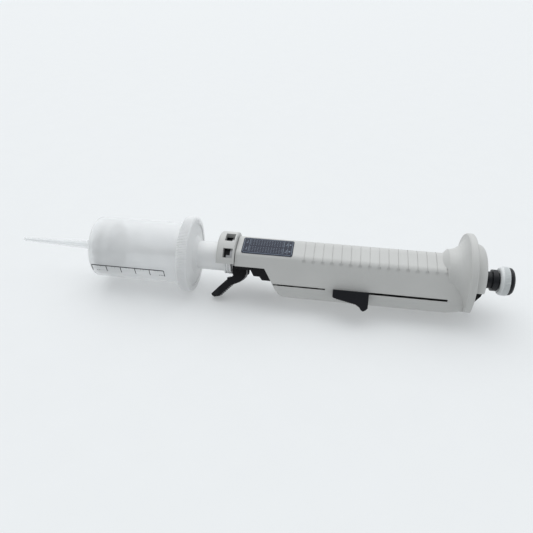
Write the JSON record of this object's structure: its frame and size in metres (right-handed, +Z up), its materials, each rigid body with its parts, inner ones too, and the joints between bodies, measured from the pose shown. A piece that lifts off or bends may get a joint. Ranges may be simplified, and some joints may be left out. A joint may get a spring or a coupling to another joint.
{
  "type": "repeating dispenser pipette",
  "caption": "Hand-held repeating dispenser pipette: ratchet plunger with a filling slider, dial knob and release lever, carrying a large displacement tip.",
  "frame": {"origin": "centre of the bounding box in X and Y, on the bench at the lowest points of the tip ring, the finger flange and the release lever", "axes": "+X along the plunger axis from the nozzle to the stroke knob, +Z up from the bench the tool lies on; the palm side faces up and away (+Y), rolled 30 degrees about X"},
  "size_m": [0.3192, 0.055, 0.0518],
  "materials": {
    "frosted_polymer": "translucent frosted moulded polypropylene",
    "adapter_polymer": "semi-translucent moulded polymer",
    "white_polymer": "plain white moulded polymer",
    "grey_shell": "fine satin moulded shell",
    "black_polymer": "black satin moulded polymer",
    "blue_label": "dark blue film with a pale printed grid",
    "knob_grey": "knurled satin moulding",
    "acetal": "natural machined acetal",
    "steel": "ground stainless wire and pins",
    "brass": "plain turned brass"
  },
  "bodies": {
    "grip_and_barrel": {"tip_nozzle": "frosted_polymer", "tip_barrel": "frosted_polymer", "finger_flange": "grey_shell", "adapter_ring": "adapter_polymer", "adapter_body": "adapter_polymer", "nose_collar": "grey_shell", "nose_liner": "black_polymer", "grip_spring": "steel", "housing": "grey_shell", "volume_label": "blue_label", "lever_bracket": "black_polymer", "lever_pin": "black_polymer", "lever_spring": "steel", "chassis": "black_polymer", "chassis_screws": "steel", "brake_shoe": "brass", "brake_spring": "steel", "spring_guides": "steel", "end_plate": "black_polymer", "stem_bush": "brass", "end_cap": "grey_shell", "cap_screws": "steel"},
    "plunger_train": {"tip_piston": "white_polymer", "piston_seal": "white_polymer", "piston_rod": "white_polymer", "rod_coupler": "black_polymer", "coupler_pin": "steel", "rack": "acetal", "slide_link": "black_polymer", "fill_slider": "black_polymer", "slider_pins": "steel"},
    "press_drive": {"drive_carrier": "acetal", "pawl_pin": "steel", "pawl_spring": "steel", "return_spring_near": "steel", "return_spring_far": "steel"},
    "stroke_knob": {"stem": "black_polymer", "stem_clip": "steel", "stroke_cam": "acetal", "knob_ring": "knob_grey", "knob_cap": "black_polymer"},
    "pawl": {"drive_pawl": "steel"},
    "lever": {"release_lever": "black_polymer"}
  },
  "joints": [
    {"name": "fill_slide", "type": "slide", "parent": "grip_and_barrel", "child": "plunger_train", "axis": [1, 0, 0], "range_m": [0, 0.048]},
    {"name": "dispense_press", "type": "slide", "parent": "grip_and_barrel", "child": "press_drive", "axis": [-1, 0, 0], "range_m": [0, 0.004], "stiffness_N_per_m": 900, "deforming": ["return_spring_near", "return_spring_far"]},
    {"name": "stroke_dial", "type": "hinge", "parent": "press_drive", "child": "stroke_knob", "pos_m": [0.15235, 0.00078, 0.0245], "axis": [1, 0, 0], "range_deg": [0, 288]},
    {"name": "pawl_lift", "type": "hinge", "parent": "press_drive", "child": "pawl", "pos_m": [0.07485, 0.00348, 0.02918], "axis": [0, 0.866, -0.5], "range_deg": [0, 6], "stiffness_Nm_per_rad": 0.02},
    {"name": "clamp_lever", "type": "hinge", "parent": "grip_and_barrel", "child": "lever", "pos_m": [-0.00905, -0.00292, 0.01809], "axis": [0, 0.866, -0.5], "range_deg": [0, 12], "stiffness_Nm_per_rad": 0.6}
  ]
}
